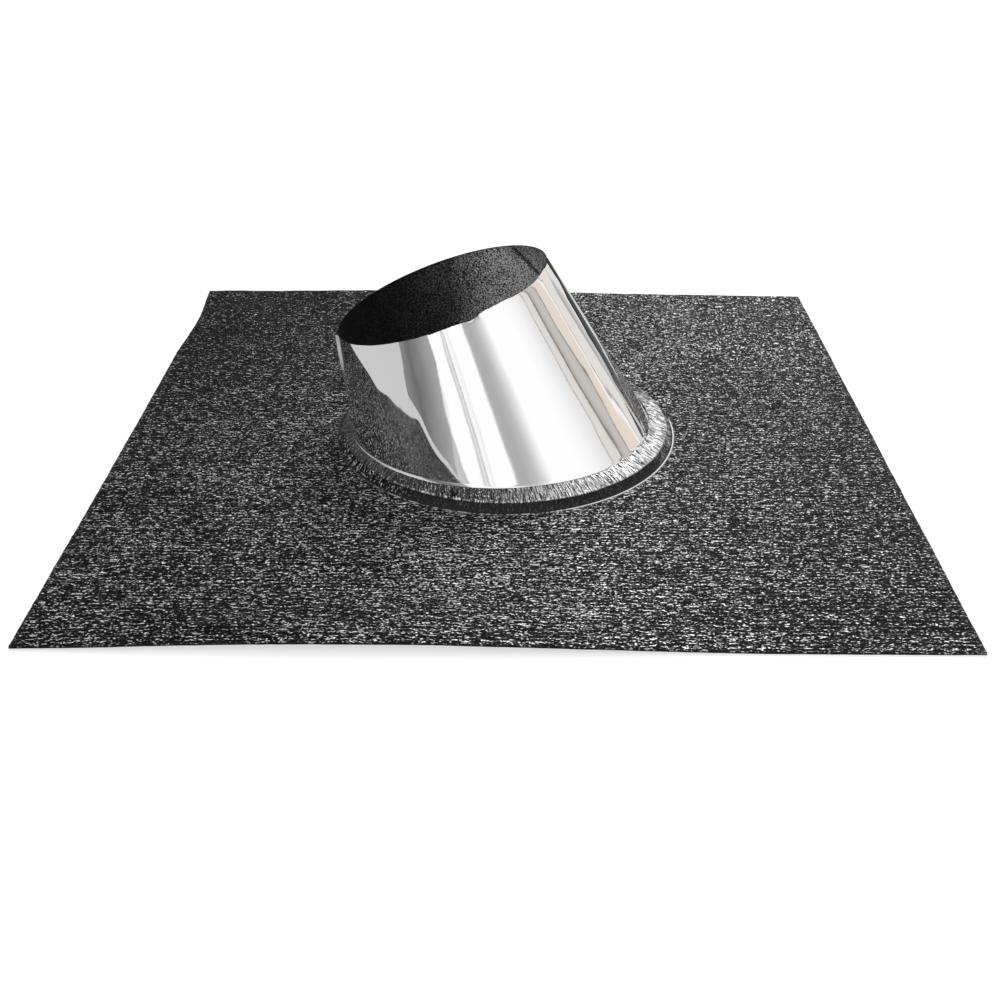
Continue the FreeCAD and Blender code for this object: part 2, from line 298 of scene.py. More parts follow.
def gather_rows(angle, heading, wobble, plain):
    """The gathers, from the wall's top over the shoulder to the collar's foot; crumpled at the right."""
    ribs = rib_wave(angle, 41)
    crumple = ramp(heading, -58, -22) * (1 - ramp(heading, 45, 80))
    # Painted highlight: the ribs' pale bare share is raised across the front and right, where they catch the
    # light, and kept low at the left.
    painted_rib_highlight = 0.05 + 0.50 * ramp(heading, -105, -58) + 0.30 * ramp(heading, -62, -30)
    painted_rib_highlight = painted_rib_highlight * (1 - 0.9 * ramp(heading, 4, 30))
    top_x, top_y = ring_points(CREASE_RADIUS - RING_LEAN + wobble + 0.35 * ribs, angle)
    foot_x, foot_y = oval_points(foot_oval(-LEDGE, FOOT), angle)
    rows = []
    for share in (0.0, 0.05, 0.11, 0.18, 0.27, 0.37, 0.48, 0.59, 0.70, 0.80, 0.89, 0.96, 1.0):
        rise = RING_HEIGHT + (FOOT - RING_HEIGHT) * (1 - (1 - share) ** 1.7)
        depth = 0.24 * ramp(share, -0.04, 0.06) * (1 - 0.8 * ramp(share, 0.9, 1.0))
        depth = depth * (0.25 + 0.75 * ramp(heading, -140, -105))
        lean = 0.25 * grain(angle * 20, share * 1.5, 44)
        wave = rib_wave(angle + 0.004 * lean * share, 41)
        mess = grain(angle * 60, share * 5, 43) * (0.08 + 0.55 * crumple) * ramp(share, 0.0, 0.2)
        climb = crumple * (1.1 + 0.9 * grain(angle * 45, 0, 47)) * ramp(share, 0.75, 1.0)
        # Painted glints along the shoulder and paler ridges, both put into the worn share.
        edge = ramp(share, -0.03, 0.0) * (1 - ramp(share, 0.02, 0.12))
        glint = edge * (1 - plain) * np.clip(0.3 + 0.8 * grain(angle * 74, 0, 46), 0, 1)
        specks = grain(angle * 190, share * (1.5 + 5 * crumple), 48)
        ridge = painted_rib_highlight * np.clip(0.66 + 0.15 * wave + 0.35 * specks + 0.25 * share, 0, 1)
        # Lower crepe share at the left gives the gathers a flatter, darker colour there: painted shadow of the
        # collar.
        rows.append(full_row(top_x + (foot_x - top_x) * share, top_y + (foot_y - top_y) * share,
                             rise + depth * wave + (mess + climb), 0.3 + 0.55 * ramp(heading, -130, -100),
                             np.maximum(glint, ridge)))
    rows.append(full_row(foot_x, foot_y, FOOT - 0.03, 0.3, 0.0))
    return rows


def inner_rows(angle):
    """The lip up inside the collar and down again, then the ring's underside back out to the roof."""
    near, away = COLLAR_GAUGE + BOND_GAP, COLLAR_GAUGE + BOND_GAP + GAUGE
    shoulder = LIP_TOP - LIP_ROUND
    rows = []
    for inset, level in ((near, FOOT), (near, FOOT + 4), (near, shoulder), (near + LIP_ROUND, LIP_TOP),
                         (away - LIP_ROUND, LIP_TOP), (away, shoulder), (away, FOOT - GAUGE)):
        rows.append(full_row(*oval_points(foot_oval(inset, level), angle), level, 0.3, 0.0))
    last_x, last_y = rows[-1][:2]
    under_x, under_y = ring_points(CREASE_RADIUS - RING_LEAN - GAUGE, angle)
    for share in (0.5, 0.85, 1.0):
        level = FOOT - GAUGE + (RING_HEIGHT - FOOT) * share
        rows.append(full_row(last_x + (under_x - last_x) * share, last_y + (under_y - last_y) * share,
                             level, 0.3, 0.0))
    for level in (RING_HEIGHT / 2 - GAUGE, 0.0):
        radius = CREASE_RADIUS - GAUGE - SLOPE * (level - GAUGE)
        rows.append(full_row(*ring_points(radius, angle), level, 0.3, 0.0))
    return rows


def drawn_surface():
    """The pressed ring, gathers and lip as closed rows from the field's upper face round to its underside.

    Each row is (x, y, z, crepe share, worn share) round the ring; the worn share holds wear and painted glints.
    The heading is the angle in degrees from -180 to 180: -90 is the front and 0 the right.
    """
    angle = pi / 2 + 2 * pi * np.arange(TURNS) / TURNS
    heading = np.degrees(np.arctan2(np.sin(angle), np.cos(angle)))
    wobble = 0.25 * grain(angle * 9, 0, 33)
    # Headings at the left and back where the wall keeps its crepe texture and the shoulder gets no painted
    # glints: the ring's painted shade and highlights are left off there.
    plain = np.maximum(1 - ramp(heading, -142, -112), ramp(heading, 100, 140))
    rows = (crease_rows(angle, heading) + wall_rows(angle, heading, wobble, plain)
            + gather_rows(angle, heading, wobble, plain) + inner_rows(angle))
    return [np.stack(column) for column in zip(*rows)]


def fill_gap(vertices, quads, away, drawn_start):
    """Triangles from the field's stepped hole to the first drawn row."""
    count = len(away)
    sides = np.stack((quads, np.roll(quads, -1, axis=1)), axis=-1).reshape(-1, 2)
    single = sides[~np.isin(sides @ (count, 1), sides @ (1, count))]
    steps = single[away[single[:, 0]] < CREASE_RADIUS + 20][:, ::-1]    # round the hole, not the cut edges
    circle = drawn_start + np.arange(TURNS)
    ids, where = np.unique(np.concatenate((steps.ravel(), circle)), return_inverse=True)
    steps, circle = where[:steps.size].reshape(-1, 2), where[steps.size:]
    edges = np.concatenate((steps, np.stack((np.roll(circle, -1), circle), axis=1)))
    return ids[fill_between(vertices[ids][:, :2], edges, True)]


def close_below(vertices, rim_line, last_row):
    """The underside: points under the cut edges and on a 12 mm grid, and triangles in to the ring."""
    under_rim = vertices[rim_line].copy()
    under_rim[:, 2] = sheet_lift(under_rim[:, 0], under_rim[:, 1])
    spots = np.linspace(-SIDE_X / 2 + 7, SIDE_X / 2 - 7, 41)
    x, y = [a.ravel() for a in np.meshgrid(spots, spots)]
    outside = np.hypot(x - CREASE_X, y - CREASE_Y) > CREASE_RADIUS + 4
    x, y = x[outside], y[outside]
    rim_ids = len(vertices) + np.arange(len(rim_line))
    grid_ids = rim_ids[-1] + 1 + np.arange(len(x))
    vertices = np.concatenate((vertices, under_rim, np.stack((x, y, sheet_lift(x, y)), axis=-1)))
    ids = np.concatenate((rim_ids, last_row, grid_ids))
    outer, inner = np.arange(len(rim_ids)), len(rim_ids) + np.arange(TURNS)
    edges = np.concatenate((np.stack((outer, np.roll(outer, -1)), axis=1),
                            np.stack((np.roll(inner, -1), inner), axis=1)))
    return vertices, rim_ids, ids[fill_between(vertices[ids][:, :2], edges, False)]


def gather_uv(dx, dy, dz, corner_rows, corner_columns):
    """UVs in metres that follow the gathers: down the rows' mean path, and round the ring."""
    steps = np.hypot(np.hypot(np.diff(dx, axis=0), np.diff(dy, axis=0)), np.diff(dz, axis=0))
    path = np.concatenate(([0], np.cumsum(steps.mean(axis=1))))
    around = 2 * pi * corner_columns / TURNS * (CREASE_RADIUS - 8) * MM
    return np.stack((path[corner_rows] * MM, around), axis=-1)


def make_crepe_sheet(material):
    """One closed shell: field grid with crepe relief, filled to the drawn ring, cut edges and underside."""
    x, y = np.meshgrid(np.linspace(-SIDE_X / 2, SIDE_X / 2, FIELD_COLUMNS),
                       np.linspace(-SIDE_Y / 2, SIDE_Y / 2, FIELD_ROWS))
    x, y = cut_outline(x, y)
    field = np.stack((x, y, sheet_lift(x, y) + GAUGE + crepe(x, y)), axis=-1).reshape(-1, 3)
    away = np.hypot(x - CREASE_X, y - CREASE_Y)
    clear = away > CREASE_RADIUS + RING_MARGIN + 0.6
    kept = clear[:-1, :-1] & clear[1:, :-1] & clear[:-1, 1:] & clear[1:, 1:]
    number = np.arange(x.size).reshape(x.shape)
    quads = np.stack((number[:-1, :-1], number[:-1, 1:], number[1:, 1:], number[1:, :-1]), axis=-1)[kept]

    dx, dy, dz, drawn_crepe, drawn_wear_and_painted_glint = drawn_surface()
    drawn_start = len(field)
    vertices = np.concatenate((field, np.stack((dx, dy, dz), axis=-1).reshape(-1, 3)))
    ring_quads, corner_rows, corner_columns = band_quads(len(dx), TURNS, drawn_start)
    gap = fill_gap(vertices, quads, away.ravel(), drawn_start)

    rim_line = np.concatenate((number[0, :], number[1:, -1], number[-1, -2::-1], number[-2:0:-1, 0]))
    last_row = len(vertices) - TURNS + np.arange(TURNS)
    vertices, rim_ids, under = close_below(vertices, rim_line, last_row)
    edge_quads = np.stack((rim_line, rim_ids, np.roll(rim_ids, -1), np.roll(rim_line, -1)), axis=1)

    loops = np.concatenate([part.ravel() for part in (quads, ring_quads, edge_quads, gap, under)])
    sizes = np.repeat((4, 3), (len(quads) + len(ring_quads) + len(edge_quads), len(gap) + len(under)))
    piece = new_piece("crepe_sheet", vertices, loops, sizes, [material], sharp_rows=[rim_line, rim_ids])

    uv = vertices[loops][:, :2] * MM
    ring = slice(quads.size, quads.size + ring_quads.size)
    folded = (corner_rows[:, :1] >= 3)[..., None]       # inside the crease the pattern follows the gathers
    own = gather_uv(dx, dy, dz, corner_rows, corner_columns)
    uv[ring] = np.where(folded, own, uv[ring].reshape(-1, 4, 2)).reshape(-1, 2)
    layer = piece.data.uv_layers.new(name="lay")
    layer.data.foreach_set("uv", uv.astype(np.float32).ravel())
    for name, on_field, on_drawn in (("crepe", 1.0, drawn_crepe), ("wear_and_painted_glint", 0.0, drawn_wear_and_painted_glint)):
        share = np.zeros(len(vertices), np.float32)
        share[:drawn_start] = on_field
        share[drawn_start:drawn_start + on_drawn.size] = on_drawn.ravel()
        # Painted shade: the top row along the cut edges takes less crepe, so it shows as a darker line.
        if name == "crepe":
            share[rim_line] = 0.45
        piece.data.attributes.new(name, "FLOAT", "POINT").data.foreach_set("value", share)
    return piece


# --- collar ------------------------------------------------------------------------------------
LAP = radians(7.5)              # half of the lap's share of the turn
LAP_PROUD = COLLAR_GAUGE - 0.1  # how far the lap stands out
SPRUNG = radians(197)           # where the rim springs out a little on the short side
STEP = 0.0007                   # half the angle in which the lap's edge steps up


def collar_angles():
    """Angles round the collar's own axis, 0 on its long side, doubled at the lap's two steps."""
    even = 2 * pi * np.arange(720) / 720
    steps = np.array([LAP - STEP, LAP + STEP, 2 * pi - LAP - STEP, 2 * pi - LAP + STEP])
    near_step = np.min(np.abs(even[:, None] - steps), axis=1) < 0.002
    return np.sort(np.concatenate((even[~near_step], steps)))


def make_collar(steel, inside):
    """A cone wall on a leaning axis: rows run down the outside from rim to foot, then up the inside.

    A point is rim middle + radius * (cos a * e1 + sin a * e2) - axis * t, with the radius growing by
    tan(flare) per t; the foot's t is where the line meets the level of the cut.
    """
    a = collar_angles()
    count = len(a)
    e1 = np.cross(np.cross(AXIS, (0, 0, 1)), AXIS)
    e1 = e1 / np.linalg.norm(e1)
    e2 = np.cross(AXIS, e1)
    tilt = np.cos(a) * e1[2] + np.sin(a) * e2[2]
    grow = tan(FLARE)
    signed = (a + pi) % (2 * pi) - pi
    on_lap = np.abs(signed) < LAP
    left_front = swell(a - radians(232), radians(64))
    burr = np.interp(np.degrees(a), CUT_AT, CUT_LOW) + swell(a - radians(292), radians(48)) * (
        0.3 * grain(a * 24, 0, 54) + 0.22 * grain(a * 60, 0, 55))

    def row(inset, share):
        """Distance below the rim and radius, a share of the way down, with the wall's slight dents."""
        radius0 = RIM_RADIUS - inset / cos(FLARE)
        t = (RIM[2] + radius0 * tilt - FOOT) / (AXIS[2] - grow * tilt) * share
        dent = 0.05 * grain(a * 5, t / 30, 51) + (0.02 + 0.13 * left_front) * grain(a * 11, t / 15, 52)
        dent = dent + left_front * 1.5 * (t / 70) ** 2
        dent = dent + 1.7 * swell(a - SPRUNG, 0.09) * swell(t, 46)
        out = radius0 + t * grow + dent * (1 if inset <= 0 else 0.3)
        return t + (burr if share == 0 else 0), out

    def place(t, out):
        return RIM + (out * np.cos(a))[:, None] * e1 + (out * np.sin(a))[:, None] * e2 - t[:, None] * AXIS

    turned = ramp(a, radians(178), radians(190)) * (1 - ramp(a, radians(282), radians(300)))
    spring = np.where(on_lap, 1.1 * (0.5 - 0.5 * signed / LAP), 0.0)
    rows, painted_highlights = [], []
    for share in np.concatenate(([0.0], np.linspace(0.012, 0.97, 46), [0.982, 0.989, 1.0])):
        t, out = row(0.0, share)
        curl = (0.12 + 0.7 * turned) * np.clip((share - 0.989) / 0.011, 0, 1)
        rows.append(place(t, out + on_lap * LAP_PROUD + spring * ramp(t, 3, 22) + curl))
        # Painted highlight: a small patch by the rim on the short side, made dull and pale in the steel's
        # material.
        painted_highlights.append(swell(a - radians(201), radians(8)) * swell(t - 11, 21))
    outer_rows = len(rows)
    rows += [place(*row(COLLAR_GAUGE, share)) for share in (1.0, 0.9, 0.6, 0.3, 0.1, 0.0)]
    points = np.concatenate(rows)
    quads, corner_rows = band_quads(len(rows) + 1, count, 0)[:2]
    quads = (quads % len(points))[:, ::-1]
    slots = (corner_rows[:, 0] >= outer_rows).astype(int)
    crisp_rows = (0, outer_rows - 1, outer_rows, len(rows) - 1)
    sharp = [crisp_row * count + np.arange(count) for crisp_row in crisp_rows]
    step_columns = np.nonzero(np.abs(np.diff(on_lap.astype(int), append=on_lap[0])) > 0)[0]
    for column in np.concatenate((step_columns, (step_columns + 1) % count)):
        sharp.append(np.arange(outer_rows) * count + column)
    piece = new_piece("steel_collar", points, quads.ravel(), np.full(len(quads), 4), [steel, inside],
                      slots, sharp)
    marks = np.zeros(len(points), dtype=np.float32)
    marks[:outer_rows * count] = np.concatenate(painted_highlights)
    piece.data.attributes.new("painted_highlight", "FLOAT", "POINT").data.foreach_set("value", marks)
    return piece


# --- materials ---------------------------------------------------------------------------------
class Nodes:
    """Short calls for building a node tree from left to right."""

    def __init__(self, tree):
        self.tree = tree

    def add(self, kind, **values):
        node = self.tree.nodes.new(kind)
        for name, value in values.items():
            setattr(node, name, value)
        return node

    def set(self, socket, value):
        if hasattr(value, "is_output"):
            self.tree.links.new(value, socket)
        else:
            socket.default_value = value

    def math(self, operation, *values):
        node = self.add("ShaderNodeMath", operation=operation)
        for socket, value in zip(node.inputs, values):
            self.set(socket, value)
        return node.outputs[0]

    def plus(self, first, second):
        return self.math("ADD", first, second)

    def times(self, first, second):
        return self.math("MULTIPLY", first, second)

    def noise(self, vector, scale, detail, roughness=0.5):
        node = self.add("ShaderNodeTexNoise", noise_dimensions="3D", noise_type="FBM")
        self.set(node.inputs["Vector"], vector)
        node.inputs["Scale"].default_value = scale
        node.inputs["Detail"].default_value = detail
        node.inputs["Roughness"].default_value = roughness
        return node.outputs["Factor"] if "Factor" in node.outputs else node.outputs["Fac"]

    def stretch(self, vector, scale):
        node = self.add("ShaderNodeMapping")
        self.set(node.inputs["Vector"], vector)
        node.inputs["Scale"].default_value = scale
        return node.outputs[0]

    def span(self, value, low, high, to_low=0.0, to_high=1.0, soft=True):
        """Carry low..high to to_low..to_high, clamped, along an S curve or a straight line."""
        node = self.add("ShaderNodeMapRange", interpolation_type="SMOOTHSTEP" if soft else "LINEAR")
        for socket, number in zip(node.inputs, (value, low, high, to_low, to_high)):
            self.set(socket, number)
        return node.outputs[0]

    def mix(self, share, first, second):
        node = self.add("ShaderNodeMix", data_type="RGBA")
        self.set(node.inputs[0], share)
        self.set(node.inputs[6], first)
        self.set(node.inputs[7], second)
        return node.outputs[2]

    def colours(self, value, stops):
        """A ramp through (spot, colour) stops."""
        node = self.add("ShaderNodeValToRGB")
        self.set(node.inputs[0], value)
        while len(node.color_ramp.elements) < len(stops):
            node.color_ramp.elements.new(0.5)
        for element, (spot, colour) in zip(node.color_ramp.elements, stops):
            element.position = spot
            element.color = (*colour, 1)
        return node.outputs[0]

    def greys(self, value, stops):
        return self.colours(value, [(spot, (level, level, level)) for spot, level in stops])

    def bump(self, shader, height, strength, distance):
        node = self.add("ShaderNodeBump")
        node.inputs["Strength"].default_value = strength
        node.inputs["Distance"].default_value = distance
        self.set(node.inputs["Height"], height)
        self.set(shader.inputs["Normal"], node.outputs[0])


def new_material(name):
    material = bpy.data.materials.new(name)
    material.use_nodes = True
    return material, Nodes(material.node_tree), material.node_tree.nodes["Principled BSDF"]


def crepe_height(n, lay):
    """Height of the crepe, about 0.5 on average: 3 mm lines of uneven strength, strokes and specks."""
    drift = n.add("ShaderNodeTexNoise", noise_dimensions="3D")
    n.set(drift.inputs["Vector"], lay)
    drift.inputs["Scale"].default_value = 90.0
    drift.inputs["Detail"].default_value = 2.0
    off = n.add("ShaderNodeVectorMath", operation="MULTIPLY_ADD")
    n.set(off.inputs[0], drift.outputs["Color"])
    off.inputs[1].default_value = (0.0022, 0.0016, 0.0)
    n.set(off.inputs[2], lay)
    bent = off.outputs[0]
    strokes = n.noise(n.stretch(bent, (1.0, 7.2, 1.0)), 165.0, 1.0)
    specks = n.noise(n.stretch(lay, (1.0, 1.6, 1.0)), 720.0, 1.0)
    lines = n.add("ShaderNodeTexWave", wave_type="BANDS", bands_direction="Y", wave_profile="SIN")
    n.set(lines.inputs["Vector"], n.stretch(lay, (1.0, 2.6, 1.0)))
    for name, value in (("Scale", 38.0), ("Distortion", 7.5), ("Detail", 1.0), ("Detail Scale", 4.6)):
        lines.inputs[name].default_value = value
    force = n.noise(n.stretch(bent, (1.0, 4.0, 1.0)), 270.0, 0.0)
    ridges = n.times(n.plus(lines.outputs["Fac"], -0.5), n.span(force, 0.3, 0.7, 0.03, 0.43, soft=False))
    height = n.plus(n.times(strokes, 0.16), n.times(specks, 0.42))
    return n.plus(n.plus(height, n.times(ridges, 0.48)), 0.21)


def painted_falloff_and_patches(n, lay, place):
    """What is taken off the height from place to place: painted shade, darker at the sides and further out, most
    at the far left, and random patches.
    """
    x, y = place.outputs[0], place.outputs[1]
    sides = n.plus(n.span(x, -0.25, 0.02, -0.014, 0.0), n.span(x, 0.04, 0.22, 0.0, -0.014))
    corner = n.span(n.math("SUBTRACT", y, x), 0.12, 0.46, 0.0, -0.019)
    painted_falloff = n.plus(n.plus(sides, corner), n.span(y, -0.18, 0.2, -0.004, -0.0125))
    patch = n.noise(n.stretch(lay, (1.0, 2.2, 1.0)), 16.0, 1.0)
    return n.plus(painted_falloff, n.span(patch, 0.3, 0.7, -0.009, 0.006, soft=False))


def painted_glint_dots(n, lay, place):
    """Painted glints: sparse flecks all over, and rounder dots towards the far right."""
    flecks = n.span(n.noise(n.stretch(lay, (1.0, 1.6, 1.0)), 430.0, 0.0), 0.66, 0.72, 0.0, 0.07)
    dots = n.span(n.noise(n.stretch(lay, (1.0, 0.55, 1.0)), 480.0, 0.0), 0.63, 0.69, 0.0, 0.1)
    where = n.times(n.span(place.outputs[1], -0.05, 0.16), n.span(place.outputs[0], -0.1, 0.22))
    return n.math("MAXIMUM", n.times(dots, where), flecks)


def streaked_wear_and_painted_glint(n, place, wear_and_painted_glint):
    """The worn share, which holds wear and painted glints, broken into radial streaks inside the top of the
    ring's wall.
    """
    x, y = n.plus(place.outputs[0], -CREASE_X * MM), n.plus(place.outputs[1], -CREASE_Y * MM)
    radius = n.math("SQRT", n.plus(n.math("POWER", x, 2.0), n.math("POWER", y, 2.0)))
    polar = n.add("ShaderNodeCombineXYZ")
    n.set(polar.inputs[0], n.times(n.math("ARCTAN2", y, x), 0.108))
    n.set(polar.inputs[1], n.times(radius, 0.11))
    streaks = n.span(n.noise(polar.outputs[0], 1250.0, 1.0), 0.38, 0.62, 0.15, 1.9)
    inner = n.math("LESS_THAN", radius, (CREASE_RADIUS - RING_LEAN + 1.2) * MM)
    streaked = n.times(wear_and_painted_glint, n.plus(1.0, n.times(inner, n.plus(streaks, -1.0))))
    return n.math("MINIMUM", streaked, 1.0)


def crepe_material():
    """Dark coated crepe: black in the furrows, rubbed grey on the ridges, partly painted shade and glints; bare
    pale metal by the worn share.
    """
    material, n, shader = new_material("coated_crepe")
    lay = n.add("ShaderNodeUVMap", uv_map="lay").outputs[0]
    place = n.add("ShaderNodeSeparateXYZ")
    n.set(place.inputs[0], n.add("ShaderNodeTexCoord").outputs["Object"])
    crepe_share = n.add("ShaderNodeAttribute", attribute_name="crepe").outputs["Fac"]
    wear_and_painted_glint = streaked_wear_and_painted_glint(n, place, n.add("ShaderNodeAttribute", attribute_name="wear_and_painted_glint").outputs["Fac"])
    height = crepe_height(n, lay)
    raised = n.plus(n.plus(height, painted_falloff_and_patches(n, lay, place)), painted_glint_dots(n, lay, place))
    # From near black in the furrows to white on the ridge tops: the coating's rubbed tone, with painted shade in
    # the furrows and painted glints on the ridges.
    tone = n.colours(raised, (
        (0.398, (0.0002, 0.0002, 0.0002)), (0.46, (0.0008, 0.0008, 0.0008)), (0.493, (0.004, 0.004, 0.0041)),
        (0.524, (0.018, 0.018, 0.0183)), (0.555, (0.095, 0.095, 0.096)), (0.586, (0.45, 0.45, 0.455)),
        (0.615, (1.0, 1.0, 1.0))))
    # A low crepe share gives a flat dark grey: the smoothed coating, and also painted shade on the ring's front
    # wall, its left gathers and the cut edges.
    smooth = n.mix(crepe_share, (0.022, 0.022, 0.024, 1), tone)
    n.set(shader.inputs["Base Color"], n.mix(wear_and_painted_glint, smooth, (0.85, 0.85, 0.86, 1)))
    bare = n.times(n.span(raised, 0.54, 0.62, 0.0, 0.6), crepe_share)
    n.set(shader.inputs["Metallic"], n.math("MAXIMUM", bare, n.times(wear_and_painted_glint, 0.8)))
    n.set(shader.inputs["Roughness"], n.span(height, 0.4, 0.65, 0.5, 0.38))
    shader.inputs["Specular IOR Level"].default_value = 0.05
    n.bump(shader, n.times(height, crepe_share), 1.0, 0.001)
    return material


def steel_material():
    """Mirror polished stainless: faint rolling haze and hairlines, dull and pale in a painted highlight by the
    rim on the short side.
    """
    material, n, shader = new_material("mirror_steel")
    place = n.add("ShaderNodeTexCoord").outputs["Object"]
    painted_highlight = n.add("ShaderNodeAttribute", attribute_name="painted_highlight").outputs["Fac"]
    haze = n.noise(n.stretch(place, (1.0, 1.0, 0.35)), 60.0, 3.0, 0.6)
    hairs = n.noise(n.stretch(place, (1.0, 1.0, 0.03)), 900.0, 2.0, 0.6)
    shader.inputs["Base Color"].default_value = (0.93, 0.93, 0.935, 1)
    n.set(shader.inputs["Roughness"], n.plus(n.span(haze, 0.3, 0.7, 0.02, 0.05), n.times(painted_highlight, 0.5)))
    n.set(shader.inputs["Metallic"], n.math("SUBTRACT", 1.0, n.times(painted_highlight, 0.8)))
    n.bump(shader, hairs, 0.05, 0.0001)
    return material


def inside_material():
    """The collar's inner face: dull, dark and grainy, with painted light and shade: paler to the right and lower
    down, a dark slanting line, a near black rim edge.
    """
    material, n, shader = new_material("dull_inside")
    place = n.add("ShaderNodeTexCoord").outputs["Object"]
    axes = n.add("ShaderNodeSeparateXYZ")
    n.set(axes.inputs[0], place)
    speck = n.noise(place, 1000.0, 1.0, 0.6)
    cloud = n.noise(place, 28.0, 3.0, 0.55)
    # Painted light: near black at the left, paler to the right, where light falls inside the collar.
    painted_light_share = n.greys(n.span(axes.outputs[0], -0.09, 0.04, soft=False),
                     ((0, 0.01), (0.21, 0.025), (0.41, 0.075), (0.59, 0.4), (0.71, 0.75), (0.82, 1.0)))
    slant = n.plus(axes.outputs[0], n.times(axes.outputs[2], 1.05))
    # Painted shade: a dark slanting line across the inner wall.
    painted_dark_line = n.greys(n.span(slant, 0.1055, 0.1405, soft=False),
                       ((0, 1.0), (0.38, 1.0), (0.46, 0.2), (0.52, 0.12), (0.58, 0.5), (0.64, 0.72),
                        (1.0, 0.5)))
    along = n.add("ShaderNodeVectorMath", operation="DOT_PRODUCT")
    n.set(along.inputs[0], place)
    along.inputs[1].default_value = AXIS
    rim_at = float(RIM @ AXIS) * MM
    # Painted shade: the rim's top edge is made near black.
    below_rim = n.span(along.outputs["Value"], rim_at - 0.0006, rim_at - 0.0003, 1.0, 0.02)
    shade = n.times(n.math("POWER", n.span(speck, 0.3, 0.75, soft=False), 2.2), 2.8)
    shade = n.times(shade, n.span(cloud, 0.3, 0.7, 0.65, 1.3))
    # Painted light: paler lower down the inner wall, darker towards the rim.
    shade = n.times(shade, n.span(axes.outputs[2], 0.088, 0.118, 1.7, 0.75))
    shade = n.times(n.times(shade, painted_light_share), n.times(painted_dark_line, below_rim))
    tone = n.colours(shade, ((0.0, (0.001, 0.001, 0.0012)), (1.0, (0.95, 0.95, 0.96))))
    n.set(shader.inputs["Base Color"], tone)
    shader.inputs["Roughness"].default_value = 0.55
    shader.inputs["Metallic"].default_value = 0.3
    shader.inputs["Specular IOR Level"].default_value = 0.15
    n.bump(shader, speck, 0.35, 0.0003)
    return material


# --- studio ------------------------------------------------------------------------------------
def grey(level, tint=(1.0, 1.0, 1.0)):
    """Linear colour of a screen grey from 0 to 255."""
    c = level / 255
    value = c / 12.92 if c <= 0.04045 else ((c + 0.055) / 1.055) ** 2.4
    return tuple(value * t for t in tint)


CAMERA_AT = (0.00702, -0.75903, 0.39239)
CAMERA_DIP, CAMERA_TURN = radians(30.52), radians(0.57)     # how far it looks down and turns left
LENS = 44.99                    # millimetres, on a frame 36 mm wide
AMBIENT = 0.84                  # how bright the room is for all but polished metal
WARM = (1.0, 0.93, 0.84)
FRONT = (                       # the room as polished metal sees it: degrees from the front to the right, grey
    (-60, 205), (-48, 205), (-47, 130), (-36, 118), (-30, 150), (-24, 165), (-22, 235), (-20.5, 262), (-10, 262),
    (-8.6, 262), (-7.6, 212), (-7.0, 205), (-6.2, 250), (-5.4, 205), (-4.6, 212), (-3.8, 262), (-1.6, 250),
    (-1.0, 240), (-0.2, 262), (12.6, 262), (13.6, 215), (15.0, 182), (20, 178), (26, 195), (31, 225), (37, 262),
    (60, 262))
RIGHT = (                       # the same further round, with how warm each stop is
    (60, 262, 0), (72, 255, 0), (80, 243, 0), (86.6, 234, 0), (87.7, 232, 1), (88.4, 150, 0), (89.1, 232, 1),
    (95.6, 226, 1), (96.6, 112, 0), (98.4, 188, 1), (103, 206, 1), (108.0, 198, 1), (108.9, 108, 0),
    (109.8, 234, 2), (119.8, 236, 2), (121.0, 252, 0), (122.6, 255, 0), (123.4, 140, 0), (124.4, 234, 1),
    (148, 234, 1), (155, 250, 0), (180, 255, 0))


def studio_world():
    """White for the camera; for metal a room of white walls with grey gaps; even light for the rest."""
    world = bpy.data.worlds.new("studio")
    world.use_nodes = True
    bpy.context.scene.world = world
    n = Nodes(world.node_tree)
    background = world.node_tree.nodes["Background"]
    axes = n.add("ShaderNodeSeparateXYZ")
    n.set(axes.inputs[0], n.add("ShaderNodeTexCoord").outputs["Generated"])
    up = axes.outputs[2]
    turn = n.math("ARCTAN2", axes.outputs[0], n.times(axes.outputs[1], -1.0))
    level = n.add("ShaderNodeCombineXYZ")
    n.set(level.inputs[0], up)
    slow = n.span(n.noise(level.outputs[0], 13.0, 0.0), 0.3, 0.7, -0.045, 0.045, soft=False)
    quick = n.span(n.noise(level.outputs[0], 55.0, 0.0), 0.3, 0.7, -0.007, 0.007, soft=False)
    sway = n.times(n.plus(slow, quick), n.span(up, 0.23, 0.275, 1.0, 0.0))
    turn = n.plus(turn, n.times(sway, n.span(turn, radians(70), radians(95))))
    ahead = n.span(turn, radians(-60), radians(60), soft=False)
    aside = n.span(turn, radians(60), radians(180), soft=False)
    front = n.colours(ahead, [((d + 60) / 120, grey(g)) for d, g in FRONT])
    right = n.colours(aside, [((d - 60) / 120, grey(g, (1, 1 - 0.06 * w, 1 - 0.12 * w))) for d, g, w in RIGHT])
    walls = n.mix(n.math("GREATER_THAN", turn, radians(60)), front, right)
    walls = n.mix(n.span(turn, radians(-110), radians(-70), 1.0, 0.0), walls, (*grey(150), 1))
    room = n.mix(n.span(up, 0.62, 0.8), walls, (1, 1, 1, 1))
    path = n.add("ShaderNodeLightPath")
    seen = n.math("MAXIMUM", path.outputs["Is Camera Ray"], path.outputs["Is Transmission Ray"])
    shiny = n.math("MAXIMUM", seen, path.outputs["Is Glossy Ray"])
    backdrop = n.mix(path.outputs["Is Glossy Ray"], (1, 1, 1, 1), room)
    n.set(background.inputs["Color"], n.mix(shiny, (AMBIENT, AMBIENT, AMBIENT, 1), backdrop))
    background.inputs["Strength"].default_value = 1.0


